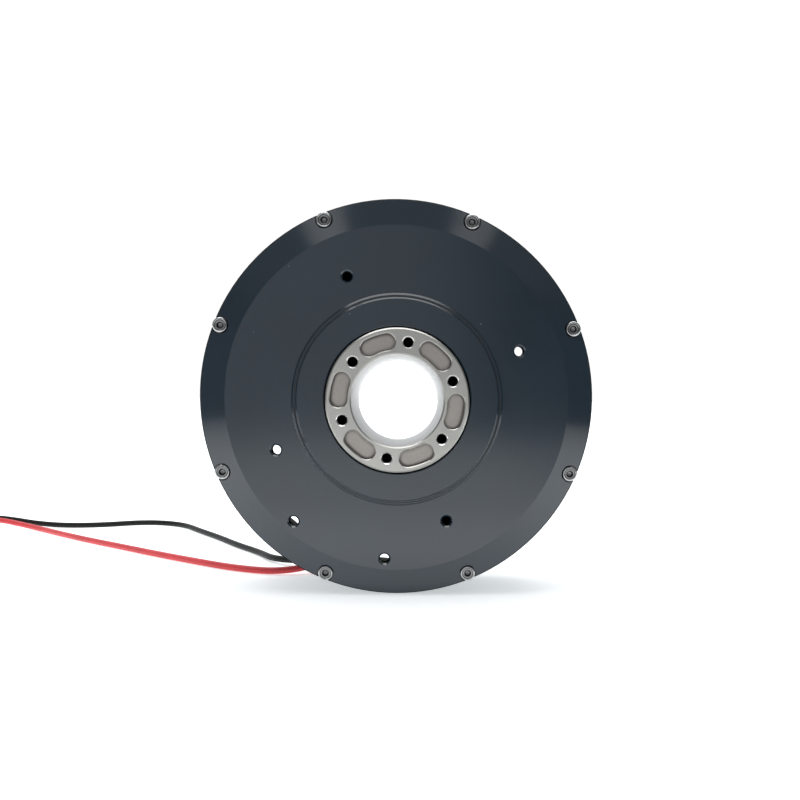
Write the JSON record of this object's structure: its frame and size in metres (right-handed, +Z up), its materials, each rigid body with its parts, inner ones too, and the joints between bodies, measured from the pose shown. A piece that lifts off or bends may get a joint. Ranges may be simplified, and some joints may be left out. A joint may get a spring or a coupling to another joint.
{
  "type": "robot joint actuator",
  "caption": "Flat round hollow-shaft robot joint actuator: black disc housing, silver output hub with bolt circle and through bore, two power leads.",
  "frame": {"origin": "on the axis of rotation, in the plane of the flat front mounting face", "axes": "-Y out of the front (output) face along the axis of rotation, +Z up, leads leave the back at the lower left"},
  "size_m": [0.237, 0.133, 0.102],
  "materials": {
    "anodised_black": "satin black anodised, fine turned marks",
    "silver_hub": "clear anodised, bead blasted",
    "screw_steel": "bright stainless steel",
    "bearing_steel": "ground bearing steel",
    "spring_steel": "black phosphated spring steel",
    "electrical_steel": "stamped laminations",
    "copper": "enamelled copper wire",
    "insulator": "moulded nylon",
    "cage_plastic": "moulded polyamide",
    "felt": "pressed felt",
    "magnet_nickel": "nickel plated",
    "mild_steel": "turned, oiled",
    "circuit_board": "green solder mask",
    "brass": "bright brass",
    "chip_black": "moulded epoxy",
    "capacitor_can": "drawn can",
    "pad_grey": "soft silicone pad",
    "connector_white": "moulded nylon",
    "rubber_black": "soft rubber",
    "lead_red": "silicone insulation",
    "lead_black": "silicone insulation",
    "plug_nylon": "moulded nylon"
  },
  "bodies": {
    "housing": {"bearing_snap_ring": "spring_steel", "black_lead": "lead_black", "board_standoffs": "brass", "bus_capacitors": "capacitor_can", "can_gasket": "rubber_black", "can_screws": "screw_steel", "can_spacers": "brass", "control_chips": "chip_black", "dowel_pins": "bearing_steel", "driver_board": "circuit_board", "driver_can": "anodised_black", "dust_seal": "felt", "encoder_sensor": "chip_black", "front_bearing_outer_ring": "bearing_steel", "front_cover": "anodised_black", "front_rim_screws": "screw_steel", "lead_grommet": "rubber_black", "middle_frame": "anodised_black", "phase_bushes": "insulator", "phase_pins": "brass", "plug_contacts": "brass", "power_plug": "plug_nylon", "power_terminals": "brass", "power_transistors": "chip_black", "rear_bearing_outer_ring": "bearing_steel", "rear_cover": "anodised_black", "rear_rim_screws": "screw_steel", "red_lead": "lead_red", "signal_connector": "connector_white", "signal_pins": "brass", "stator_coils": "copper", "stator_core": "electrical_steel", "stator_insulators": "insulator", "thermal_pads": "pad_grey"},
    "rotor": {"output_hub": "silver_hub", "cable_sleeve": "silver_hub", "rotor_spider": "silver_hub", "drive_key": "mild_steel", "rotor_back_iron": "mild_steel", "rotor_magnets": "magnet_nickel", "front_spacer": "silver_hub", "rear_spacer": "silver_hub", "shaft_nut": "spring_steel", "encoder_magnet_ring": "chip_black", "front_bearing_inner_ring": "bearing_steel", "rear_bearing_inner_ring": "bearing_steel"},
    "front_cage": {"front_bearing_cage": "cage_plastic", "front_bearing_balls": "screw_steel"},
    "rear_cage": {"rear_bearing_cage": "cage_plastic", "rear_bearing_balls": "screw_steel"}
  },
  "joints": [
    {"name": "output_spin", "type": "hinge", "parent": "housing", "child": "rotor", "pos_m": [0, 0, 0], "axis": [0, 1, 0], "continuous": true},
    {"name": "front_cage_spin", "type": "hinge", "parent": "housing", "child": "front_cage", "pos_m": [0, 0.008, 0], "axis": [0, 1, 0], "continuous": true},
    {"name": "rear_cage_spin", "type": "hinge", "parent": "housing", "child": "rear_cage", "pos_m": [0, 0.029, 0], "axis": [0, 1, 0], "continuous": true}
  ],
  "couplings": [
    {"joint": "front_cage_spin", "follows": "output_spin", "ratio": 0.4556},
    {"joint": "rear_cage_spin", "follows": "output_spin", "ratio": 0.4556}
  ]
}
